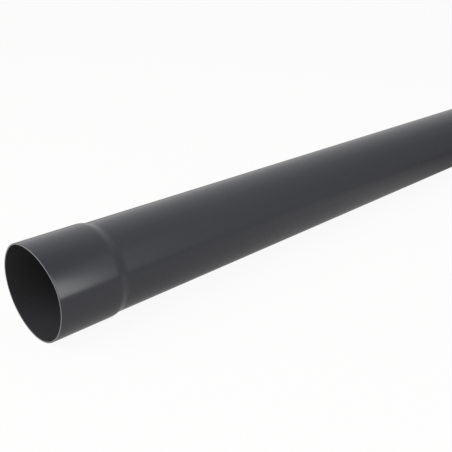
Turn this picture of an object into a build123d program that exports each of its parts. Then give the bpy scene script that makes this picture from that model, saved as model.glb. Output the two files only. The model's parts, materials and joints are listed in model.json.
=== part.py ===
from build123d import *
import os
from math import atan2, degrees, sin

# A rainwater downpipe of extruded rigid PVC, 80 mm across, in one piece. One end is belled out
# into a plain socket that takes the square-cut end of the next length.
# It lies along +X, with its axis through the origin and the socket's mouth at X = 0.

# Driving dimensions, in millimetres
pipe_length = 2000.0  # overall, from the socket's mouth to the plain end
pipe_diameter = 80.0  # outside
pipe_wall = 1.5
socket_depth = 53.5  # straight stretch that the next pipe slides into
socket_wall = 1.35  # thinner than the pipe's, because the hot end is stretched over a mandrel
spigot_clearance = 0.15  # gap all round between the socket and a pipe pushed into it
neck_length = 11.5  # stretch over which the bell narrows to the pipe
mouth_round = 0.25  # on both edges of the rim
spigot_chamfer = 0.5  # on the outer edge of the plain end

pipe_radius = pipe_diameter / 2
water_way_radius = pipe_radius - pipe_wall
socket_bore_radius = pipe_radius + spigot_clearance
socket_radius = socket_bore_radius + socket_wall
neck_end = socket_depth + neck_length


def neck_curve(wide_radius, narrow_radius):
    """Narrow from the bell to the pipe in two equal arcs that meet both of them tangentially."""
    turn = 2 * atan2(wide_radius - narrow_radius, neck_length)
    bend_radius = neck_length / (2 * sin(turn))
    inward = JernArc((socket_depth, wide_radius), (1, 0), bend_radius, -degrees(turn))
    level = JernArc(inward @ 1, inward % 1, bend_radius, degrees(turn))
    return inward, level


def wall_section():
    """Half the pipe's lengthwise section: distance from the mouth across, radius up."""
    with BuildSketch(Plane.XZ) as section:
        with BuildLine():
            Line((0, socket_bore_radius), (0, socket_radius))
            Line((0, socket_radius), (socket_depth, socket_radius))
            neck_curve(socket_radius, pipe_radius)
            Line((neck_end, pipe_radius), (pipe_length, pipe_radius))
            Line((pipe_length, pipe_radius), (pipe_length, water_way_radius))
            Line((pipe_length, water_way_radius), (neck_end, water_way_radius))
            neck_curve(socket_bore_radius, water_way_radius)
            Line((socket_depth, socket_bore_radius), (0, socket_bore_radius))
        make_face()
        rim_corners = section.vertices().group_by(Axis.X)[0]
        fillet(rim_corners, min(mouth_round, 0.4 * socket_wall))
        # the sketch's own Y is the radius
        plain_end_corner = section.vertices().group_by(Axis.X)[-1].sort_by(Axis.Y)[-1]
        chamfer(plain_end_corner, min(spigot_chamfer, 0.6 * pipe_wall))
    return section.sketch


downpipe = revolve(wall_section(), Axis.X)

os.makedirs("parts", exist_ok=True)
export_step(downpipe, "parts/downpipe.step")
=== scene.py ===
import bpy
import json
import math
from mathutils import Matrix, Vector


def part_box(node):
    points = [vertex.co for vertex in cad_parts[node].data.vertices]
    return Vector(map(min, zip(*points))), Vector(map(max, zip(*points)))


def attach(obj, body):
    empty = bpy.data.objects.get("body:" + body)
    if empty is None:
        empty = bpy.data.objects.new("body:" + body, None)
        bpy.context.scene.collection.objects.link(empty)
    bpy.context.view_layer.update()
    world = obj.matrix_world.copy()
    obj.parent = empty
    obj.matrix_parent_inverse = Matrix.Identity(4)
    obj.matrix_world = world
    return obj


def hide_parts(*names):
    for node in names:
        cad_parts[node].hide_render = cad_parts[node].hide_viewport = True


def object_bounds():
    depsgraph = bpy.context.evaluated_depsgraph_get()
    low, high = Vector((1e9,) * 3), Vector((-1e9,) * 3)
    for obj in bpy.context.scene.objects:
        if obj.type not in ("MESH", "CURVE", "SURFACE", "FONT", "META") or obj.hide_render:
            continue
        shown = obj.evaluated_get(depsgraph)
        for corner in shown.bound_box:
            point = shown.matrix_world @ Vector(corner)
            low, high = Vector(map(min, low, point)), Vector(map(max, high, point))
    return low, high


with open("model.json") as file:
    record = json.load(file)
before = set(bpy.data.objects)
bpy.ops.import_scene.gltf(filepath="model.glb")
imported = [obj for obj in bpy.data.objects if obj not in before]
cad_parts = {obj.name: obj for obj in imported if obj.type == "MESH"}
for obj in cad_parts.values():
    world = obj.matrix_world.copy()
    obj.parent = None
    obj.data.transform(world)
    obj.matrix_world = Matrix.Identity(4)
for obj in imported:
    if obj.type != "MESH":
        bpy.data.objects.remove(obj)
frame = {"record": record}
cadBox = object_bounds()
print("frame loaded")


def faceTowards(thing, target):
    # turns a camera or a lamp to look at a point
    thing.rotation_euler = (Vector(target) - thing.location).to_track_quat("-Z", "Y").to_euler()


# The photograph's viewpoint: the socket near at the left, the pipe running off to the right
cameraValues = {
    "place": (-0.2044, -0.4152, 0.2331),
    "aim": (0.2148, 0.0, -0.0449),
    "lens": 50.58,  # mm, on the 36 mm wide sensor
    "shiftUp": 0.08,  # of the picture's width
    "nearest": 0.01,  # what is nearer than this isn't drawn
}


def placeCamera():
    bpy.ops.object.camera_add(location=cameraValues["place"])
    camera = bpy.context.object
    camera.name = "studioCamera"
    faceTowards(camera, cameraValues["aim"])
    camera.data.lens = cameraValues["lens"]
    camera.data.shift_y = cameraValues["shiftUp"]
    camera.data.clip_start = cameraValues["nearest"]
    bpy.context.scene.camera = camera


placeCamera()
print("camera placed")


class Wire:
    # wraps one socket, so that shader maths is written as plain expressions
    def __init__(self, socket):
        self.socket = socket

    def make(self, kind, settings=None, inputs=None, output=0):
        # adds a node of any kind to the same tree and gives back one of its outputs
        tree = self.socket.id_data
        node = tree.nodes.new(kind)
        for name, value in (settings or {}).items():
            setattr(node, name, value)
        for name, value in (inputs or {}).items():
            if isinstance(value, Wire):
                tree.links.new(value.socket, node.inputs[name])
            else:
                node.inputs[name].default_value = value
        return Wire(node.outputs[output])

    def maths(self, operation, first, second):
        return self.make("ShaderNodeMath", {"operation": operation}, {0: first, 1: second})

    def __add__(self, other):
        return self.maths("ADD", self, other)

    def __sub__(self, other):
        return self.maths("SUBTRACT", self, other)

    def __rsub__(self, other):
        return self.maths("SUBTRACT", other, self)

    def __mul__(self, other):
        return self.maths("MULTIPLY", self, other)

    def __pow__(self, other):
        return self.maths("POWER", self, other)

    def __rpow__(self, other):
        return self.maths("POWER", other, self)

    __radd__ = __add__
    __rmul__ = __mul__

    def also(self, output):
        # another output of the node that this wire comes from
        return Wire(self.socket.node.outputs[output])

    def eased(self, fromLow, fromHigh, toLow, toHigh):
        # a soft step from one level to the other
        return self.make("ShaderNodeMapRange", {"interpolation_type": "SMOOTHSTEP"}, {
            "Value": self,
            "From Min": fromLow,
            "From Max": fromHigh,
            "To Min": toLow,
            "To Max": toHigh,
        })

    def towards(self, other, amount):
        # this level where amount is 0, and the other where it is 1
        return self + (other - self) * amount

    def feed(self, node, name):
        self.socket.id_data.links.new(self.socket, node.inputs[name])


def blend(amount, first, second):
    # one colour turning into another: sockets 6 and 7 of the node are its colours, and output 2 the mix
    return amount.make("ShaderNodeMix", {"data_type": "RGBA"}, {0: amount, 6: first, 7: second}, 2)


def pattern(place, repeats, detail):
    # noise drawn out by how often it repeats in a metre along each axis
    drawnOut = place.make("ShaderNodeVectorMath", {"operation": "MULTIPLY"}, {0: place, 1: repeats})
    return place.make("ShaderNodeTexNoise", None, {"Vector": drawnOut, "Scale": 1.0, "Detail": detail})


def raiseBumps(surface, height, strength, depth):
    # fine relief, only in how the surface takes the light
    bump = {"Height": height, "Strength": strength, "Distance": depth}
    height.make("ShaderNodeBump", None, bump, "Normal").feed(surface, "Normal")


plasticValues = {
    "outside": ((0.0365, 0.0380, 0.0450, 1.0), (0.0425, 0.0440, 0.0510, 1.0)),  # darker and lighter
    # painted light: the bore's greys are paler than the outside's, standing in for more light inside
    # the bore
    "bore": ((0.0410, 0.0412, 0.0445, 1.0), (0.0480, 0.0482, 0.0515, 1.0)),
    "scuffedGrey": (0.049, 0.051, 0.057, 1.0),
    "sawn": ((0.13, 0.13, 0.135, 1.0), (0.24, 0.24, 0.245, 1.0)),
    "refraction": 1.5,
    # Patterns: how often each repeats in a metre along the pipe, across and up, and its fineness
    "lines": ((1.5, 420.0, 420.0), 3.0),  # left by the die
    "clouds": ((9.0, 30.0, 30.0), 4.0),
    "grain": ((500.0, 900.0, 900.0), 2.0),
    "drags": ((22.0, 900.0, 900.0), 2.0),  # what a scuff looks like
    "handled": ((4.0, 11.0, 11.0), 2.0),  # where on the pipe scuffs are
    "sawMarks": ((200.0, 2600.0, 500.0), 2.0),
    "sawPatches": ((60.0, 60.0, 60.0), 3.0),
    # How the patterns add up
    "toneShares": (0.6, 0.4),  # clouds and lines, or the saw's marks and patches
    "dragsShow": (0.62, 0.74),  # the levels between which a pattern comes to show
    "handledShow": (0.5, 0.7),
    "scuffCover": 0.5,  # how far a scuff's grey hides the skin's own
    # Roughness, and how far the patterns move it
    "gloss": 0.19,
    "glossSpread": 0.06,
    "grainSpread": 0.06,
    "scuff": 0.07,
    "sawnRoughness": 0.55,
    "sawnSpread": 0.2,
    # Relief: strength and depth
    "reliefShares": (0.7, 0.2, 0.1),  # lines, clouds and grain
    "skinRelief": (0.12, 0.0004),
    "sawnRelief": (0.3, 0.0001),
    # The stretched neck came out glossier: its coat, and where along the pipe that rises and ends
    "neckSheen": 0.34,
    "neckSheenRises": (0.0535, 0.0580),
    "neckSheenEnds": (0.0590, 0.0655),
}


def newPlastic(name):
    # a material, its Principled node and the places on the piece that its patterns go by
    material = bpy.data.materials.new(name)
    material.use_nodes = True
    surface = material.node_tree.nodes["Principled BSDF"]
    surface.inputs["IOR"].default_value = plasticValues["refraction"]
    place = Wire(surface.outputs[0]).make("ShaderNodeTexCoord", output="Object")
    return material, surface, place


def drawnPlastic(side):
    # rigid PVC as it leaves the die: satin skin, faint lines along the pipe, a few handling scuffs
    material, surface, place = newPlastic(side + "Plastic")
    lines = pattern(place, *plasticValues["lines"])
    clouds = pattern(place, *plasticValues["clouds"])
    grain = pattern(place, *plasticValues["grain"])
    drags = pattern(place, *plasticValues["drags"]).eased(*plasticValues["dragsShow"], 0.0, 1.0)
    handled = pattern(place, *plasticValues["handled"])
    scuffs = drags * handled.eased(*plasticValues["handledShow"], 0.0, 1.0)

    cloudShare, lineShare = plasticValues["toneShares"]
    tone = clouds * cloudShare + lines * lineShare
    skin = blend(tone, *plasticValues[side])
    scuffed = blend(scuffs * plasticValues["scuffCover"], skin, plasticValues["scuffedGrey"])
    scuffed.feed(surface, "Base Color")

    rough = plasticValues["gloss"] + (tone - 0.5) * plasticValues["glossSpread"]
    rough = rough + (grain - 0.5) * plasticValues["grainSpread"]
    (rough + scuffs * plasticValues["scuff"]).feed(surface, "Roughness")

    lineRelief, cloudRelief, grainRelief = plasticValues["reliefShares"]
    height = lines * lineRelief + clouds * cloudRelief + grain * grainRelief
    raiseBumps(surface, height, *plasticValues["skinRelief"])

    if side == "outside":
        along = place.make("ShaderNodeSeparateXYZ", None, {"Vector": place})
        sheen = along.eased(*plasticValues["neckSheenRises"], 0.0, plasticValues["neckSheen"])
        sheen = sheen * along.eased(*plasticValues["neckSheenEnds"], 1.0, 0.0)
        sheen.feed(surface, "Coat Weight")
        surface.inputs["Coat Roughness"].default_value = plasticValues["gloss"]
        surface.inputs["Coat IOR"].default_value = plasticValues["refraction"]
    return material


def sawnPlastic():
    # the cut ends: paler and rougher than the skin, with the saw's fine marks
    material, surface, place = newPlastic("sawnPlastic")
    marks = pattern(place, *plasticValues["sawMarks"])
    patches = pattern(place, *plasticValues["sawPatches"])
    markShare, patchShare = plasticValues["toneShares"]
    tone = marks * markShare + patches * patchShare
    blend(tone, *plasticValues["sawn"]).feed(surface, "Base Color")
    rough = plasticValues["sawnRoughness"] + (marks - 0.5) * plasticValues["sawnSpread"]
    rough.feed(surface, "Roughness")
    raiseBumps(surface, marks, *plasticValues["sawnRelief"])
    return material


pipeValues = {
    "segments": 256,
    "neckLength": 0.0115,
    "wall": 0.0015,
    "socketRings": 4,
    "neckRings": 16,
    "barrelRings": 20,
    "besideRim": 0.0008,  # a ring this far in keeps the wall's shading flat beside its rounded rim
    "sameSpot": 1e-6,  # points nearer to each other than this are one
    # Rounded and chamfered edges, and the strips that a rounded one is made of
    "mouthRound": 0.00025,
    "mouthRoundStrips": 3,
    "plainEndChamfer": 0.0005,
    "plainEndInside": 0.0002,
    "plainEndInsideStrips": 2,
    # The saw left the mouth a little uneven: degrees round from +Y, move along the pipe, reach
    "mouthPulls": (
        (87, -0.0020, 0.051),
        (0, -0.0003, 0.053),
        (168, 0.00055, 0.030),
        (228, -0.0006, 0.052),
        (18, -0.00025, 0.020),
    ),
    "pullDepth": 0.004,  # a pull takes hold of what lies this near the mouth
    "pullHalfAngle": 1,  # and within this many degrees of its place
    "sawnFacing": 0.9,  # faces that look this much along the pipe are sawn
    "creaseAngle": 40,
}


def neckRadius(along, wide, narrow):
    # two equal arcs, the first turning in from the bell and the second levelling out on the pipe
    length = pipeValues["neckLength"]
    turn = 2 * math.atan2(wide - narrow, length)
    bend = length / (2 * math.sin(turn))
    if along < length / 2:
        return wide - bend + math.sqrt(bend**2 - along**2)
    return narrow + bend - math.sqrt(bend**2 - (length - along)**2)


def spaced(start, span, count):
    # places at even steps over a stretch, from its start on and short of its end
    return [start + span * step / count for step in range(count)]


def wallStations(length, depth, wide, narrow):
    # places and radii from the socket's mouth to the plain end, for one side of the wall
    neck, besideRim = pipeValues["neckLength"], pipeValues["besideRim"]
    stations = [(0.0, wide)]
    for place in spaced(0.0, depth, pipeValues["socketRings"]):
        stations.append((max(place, besideRim), wide))
    for along in spaced(0.0, neck, pipeValues["neckRings"]):
        stations.append((depth + along, neckRadius(along, wide, narrow)))
    for place in spaced(depth + neck, length - depth - neck, pipeValues["barrelRings"]):
        stations.append((place, narrow))
    return stations + [(length - besideRim, narrow), (length, narrow)]


def deselectAll(kind):
    # also leaves edit mode, so that what to select can be told in code
    bpy.ops.object.mode_set(mode="EDIT")
    bpy.ops.mesh.select_mode(type=kind)
    bpy.ops.mesh.select_all(action="DESELECT")
    bpy.ops.object.mode_set(mode="OBJECT")


def bevelRing(piece, place, radius, offset, strips=1):
    # rounds the edges of one ring, which are picked by where they lie, or chamfers them with one strip
    deselectAll("EDGE")
    near = pipeValues["sameSpot"]
    points = piece.data.vertices
    for edge in piece.data.edges:
        ends = [points[index].co for index in edge.vertices]
        onPlace = all(abs(end.x - place) < near for end in ends)
        onRadius = all(abs(math.hypot(end.y, end.z) - radius) < near for end in ends)
        edge.select = onPlace and onRadius
    bpy.ops.object.mode_set(mode="EDIT")
    bpy.ops.mesh.bevel(offset=offset, segments=strips, affect="EDGES")


def pullMouth(piece, angle, along, reach):
    # moves the rim at one place round the mouth, and softly what lies within reach of it
    deselectAll("VERT")
    toward = Vector((0, math.cos(math.radians(angle)), math.sin(math.radians(angle))))
    halfAngle = math.radians(pipeValues["pullHalfAngle"])
    for point in piece.data.vertices:
        atMouth = point.co.x < pipeValues["pullDepth"]
        atAngle = Vector((0, point.co.y, point.co.z)).angle(toward) < halfAngle
        point.select = atMouth and atAngle
    bpy.ops.object.mode_set(mode="EDIT")
    bpy.ops.transform.translate(
        value=(along, 0, 0),
        use_proportional_edit=True,
        proportional_edit_falloff="SMOOTH",
        proportional_size=reach,
    )


def drawTube(rings):
    # a circle extruded from ring to ring round the wall's section and back to where it began
    bpy.ops.object.select_all(action="DESELECT")
    bpy.ops.mesh.primitive_circle_add(
        vertices=pipeValues["segments"],
        radius=rings[0][1],
        rotation=(0, math.pi / 2, 0),
        calc_uvs=False,  # no map is laid out here
    )
    bpy.ops.object.transform_apply(location=True, rotation=True, scale=True)
    bpy.ops.object.mode_set(mode="EDIT")
    bpy.ops.mesh.select_all(action="SELECT")
    for (fromPlace, fromRadius), (place, radius) in zip(rings, rings[1:]):
        step = {"value": (place - fromPlace, 0, 0)}
        bpy.ops.mesh.extrude_region_move(TRANSFORM_OT_translate=step)
        grow = radius / fromRadius
        bpy.ops.transform.resize(value=(1, grow, grow), center_override=(place, 0, 0))
    bpy.ops.mesh.select_all(action="SELECT")
    bpy.ops.mesh.remove_doubles(threshold=pipeValues["sameSpot"])
    bpy.ops.mesh.normals_make_consistent(inside=False)
    return bpy.context.object


def makeDownpipe():
    mounts = {mount["name"]: mount["dims"] for mount in frame["record"]["mounts"]}
    low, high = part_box("downpipe")
    length = high.x - low.x
    socketRadius = high.z
    boreRadius = mounts["socket"]["r_mm"] / 1000
    pipeRadius = mounts["spigot"]["r_mm"] / 1000
    waterWayRadius = pipeRadius - pipeValues["wall"]
    depth = mounts["socket"]["length_mm"] / 1000 + pipeValues["mouthRound"]
    outside = wallStations(length, depth, socketRadius, pipeRadius)
    inside = wallStations(length, depth, boreRadius, waterWayRadius)
    piece = drawTube(outside + inside[::-1] + outside[:1])
    piece.name = "drawnDownpipe"

    for radius in (socketRadius, boreRadius):
        bevelRing(piece, 0.0, radius, pipeValues["mouthRound"], pipeValues["mouthRoundStrips"])
    bevelRing(piece, length, pipeRadius, pipeValues["plainEndChamfer"])
    insideRound = pipeValues["plainEndInside"], pipeValues["plainEndInsideStrips"]
    bevelRing(piece, length, waterWayRadius, *insideRound)
    for angle, along, reach in pipeValues["mouthPulls"]:
        pullMouth(piece, angle, along, reach)
    bpy.ops.object.mode_set(mode="OBJECT")

    for material in (drawnPlastic("outside"), drawnPlastic("bore"), sawnPlastic()):
        piece.data.materials.append(material)
    for face in piece.data.polygons:
        facesAxis = face.normal.y * face.center.y + face.normal.z * face.center.z < 0
        isSawn = abs(face.normal.x) > pipeValues["sawnFacing"]
        face.material_index = 2 if isSawn else int(facesAxis)
    bpy.ops.object.shade_smooth_by_angle(angle=math.radians(pipeValues["creaseAngle"]))
    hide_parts("downpipe")
    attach(piece, "root")


makeDownpipe()
print("downpipe made")

# Places below are along the pipe from the socket's mouth, or across it, where less than 0 is in front
floorValues = {
    "reach": 24.0,
    "paint": (0.765, 0.745, 0.725, 1.0),
    "glow": 0.93,  # share of plain white that the camera sees, and the rest shows the shadow
    "white": (1.0, 1.0, 1.0, 1.0),
    "mirroredTint": (1.0, 0.972, 0.955, 1.0),
    # Painted reflection: how bright the gloss sees it, two places along the pipe, and the level at each
    "mirroredFront": (0.41, 0.81, 0.408, 0.099),
    "mirroredAside": (0.4, 1.0, 0.28, 0.13),  # well out in front, as bright as the room beyond
    "mirroredBehind": (0.1, 0.35, 0.74, 0.42),
    "asideSlant": 1.16,  # a metre further out counts as this many fewer along
    "aside": (-0.1, -0.4),  # from front to well out
    "turn": (-0.03, 0.1),  # from front to behind
    # Painted shadow: what the pipe's own shadow takes off the front, and from where along and across
    "shade": 0.15,
    "shadeFrom": (0.06, 0.16),
    "shadeUnder": (-0.05, -0.02),
}


def mirroredFloor(along, across):
    # the painted level that the gloss sees at each place on the floor
    front = along.eased(*floorValues["mirroredFront"])
    slanted = along + across * floorValues["asideSlant"]
    aside = slanted.eased(*floorValues["mirroredAside"])
    front = front.towards(aside, across.eased(*floorValues["aside"], 0.0, 1.0))
    shade = along.eased(*floorValues["shadeFrom"], 0.0, floorValues["shade"])
    front = front * (1 - shade * across.eased(*floorValues["shadeUnder"], 0.0, 1.0))
    back = along.eased(*floorValues["mirroredBehind"])
    return front.towards(back, across.eased(*floorValues["turn"], 0.0, 1.0))


def paleFloor():
    material = bpy.data.materials.new("paleFloor")
    material.use_nodes = True
    material.cycles.emission_sampling = "NONE"  # its glow is seen and mirrored, and is no lamp
    nodes = material.node_tree.nodes
    nodes.remove(nodes["Principled BSDF"])
    output = nodes["Material Output"]
    cameraRay = Wire(output.inputs["Surface"]).make("ShaderNodeLightPath", output="Is Camera Ray")
    glossyRay = cameraRay.also("Is Glossy Ray")
    place = cameraRay.make("ShaderNodeTexCoord", output="Object")
    along = place.make("ShaderNodeSeparateXYZ", None, {"Vector": place})
    strength = 1 + glossyRay * (mirroredFloor(along, along.also("Y")) - 1)
    tint = blend(glossyRay, floorValues["white"], floorValues["mirroredTint"])
    paint = place.make("ShaderNodeBsdfDiffuse", None, {"Color": floorValues["paint"]})
    glow = place.make("ShaderNodeEmission", None, {"Color": tint, "Strength": strength})
    share = cameraRay * floorValues["glow"] + glossyRay
    share.make("ShaderNodeMixShader", None, {0: share, 1: paint, 2: glow}).feed(output, "Surface")
    return material


def makeFloor():
    low, high = cadBox
    bpy.ops.object.select_all(action="DESELECT")
    bpy.ops.mesh.primitive_plane_add(
        size=floorValues["reach"], location=((low.x + high.x) / 2, 0, low.z)
    )
    floor = bpy.context.object
    floor.name = "studioFloor"
    bpy.ops.object.transform_apply(location=True, rotation=True, scale=True)
    floor.data.materials.append(paleFloor())


makeFloor()
print("floor laid")

# Directions below are along the pipe, from -1 at the socket's end to 1, or round it, from -1 level
# in front through 0 overhead to 1 level behind
roomValues = {
    "light": 0.55,  # the plain level that lights the pipe
    "backdrop": 0.957,  # what the camera sees, as pale as the floor
    # The levels that the gloss sees in front, and from where along to where they change
    "frontNearEnd": 0.12,
    "front": 0.33,
    "frontFarEnd": 0.12,
    "nearFade": (0.41, 0.5),
    "farFade": (0.66, 1.0),
    # And behind
    "back": 0.877,
    "backFarEnd": 0.55,
    "backFade": (0.45, 1.0),
    "turn": (-0.25, 0.95),  # from front to behind, round the pipe
    # What the strip light's spill adds in front, near the socket
    "glow": 0.24,
    "glowFade": (0.5, 0.66),
    "glowTurn": (-0.45, -0.75),
    # What the ceiling adds from above, away from the socket
    "overhead": 0.10,
    "overheadFade": (0.55, 0.66),
    "overheadRises": (-0.9, -0.1),
    "overheadEnds": (0.2, 0.8),
}


def mirroredRoom(along, turned):
    # the level that the gloss sees in each direction
    front = along.eased(*roomValues["nearFade"], roomValues["frontNearEnd"], roomValues["front"])
    fall = roomValues["frontFarEnd"] - roomValues["front"]
    front = front + along.eased(*roomValues["farFade"], 0.0, fall)
    glow = along.eased(*roomValues["glowFade"], roomValues["glow"], 0.0)
    front = front + glow * turned.eased(*roomValues["glowTurn"], 0.0, 1.0)
    back = along.eased(*roomValues["backFade"], roomValues["back"], roomValues["backFarEnd"])
    overhead = along.eased(*roomValues["overheadFade"], 0.0, roomValues["overhead"])
    overhead = overhead * turned.eased(*roomValues["overheadRises"], 0.0, 1.0)
    overhead = overhead * turned.eased(*roomValues["overheadEnds"], 1.0, 0.0)
    return front.towards(back, turned.eased(*roomValues["turn"], 0.0, 1.0)) + overhead


def lightRoom():
    room = bpy.data.worlds.new("studioRoom")
    bpy.context.scene.world = room
    room.use_nodes = True
    room.cycles.sampling_method = "NONE"  # too even to need a map of where its light is
    background = room.node_tree.nodes["Background"]
    cameraRay = Wire(background.outputs[0]).make("ShaderNodeLightPath", output="Is Camera Ray")
    glossyRay = cameraRay.also("Is Glossy Ray")
    direction = cameraRay.make("ShaderNodeTexCoord", output="Generated")
    along = direction.make("ShaderNodeSeparateXYZ", None, {"Vector": direction})
    across, up = along.also("Y"), along.also("Z")
    turned = across * (across * across + up * up) ** -0.5
    plain = roomValues["light"]
    level = plain + cameraRay * (roomValues["backdrop"] - plain)
    level = level + glossyRay * (mirroredRoom(along, turned) - plain)
    level.feed(background, "Strength")
    background.inputs["Color"].default_value = (1, 1, 1, 1)


lightRoom()
print("room lit")

# Where each lamp hangs, the point it faces, its width and height, and how bright its face is
lampValues = {
    "stripLamp": {
        "place": (0.468, -1.198, 0.465),
        "faces": (0.05, 0, 0.415),
        "shape": "ELLIPSE",
        "size": (0.319, 1.857),
        "shapeFills": math.pi / 4,  # of the rectangle round it
        "radiance": 3.98,
    },
    "mouthLamp": {
        "place": (-1.3, 0.32, 1.51),
        "faces": (0, 0, 0),
        "shape": "RECTANGLE",
        "size": (2.08, 1.11),
        "shapeFills": 1,
        "radiance": 4.3,
    },
}


def hangLamps():
    for name, values in lampValues.items():
        bpy.ops.object.light_add(type="AREA", location=values["place"])
        lamp = bpy.context.object
        lamp.name = name
        faceTowards(lamp, values["faces"])
        lamp.data.shape = values["shape"]
        lamp.data.size, lamp.data.size_y = values["size"]
        area = values["size"][0] * values["size"][1] * values["shapeFills"]
        lamp.data.energy = values["radiance"] * area * math.pi


hangLamps()
print("lamps hung")

scene = bpy.context.scene
scene.view_settings.view_transform = "Standard"
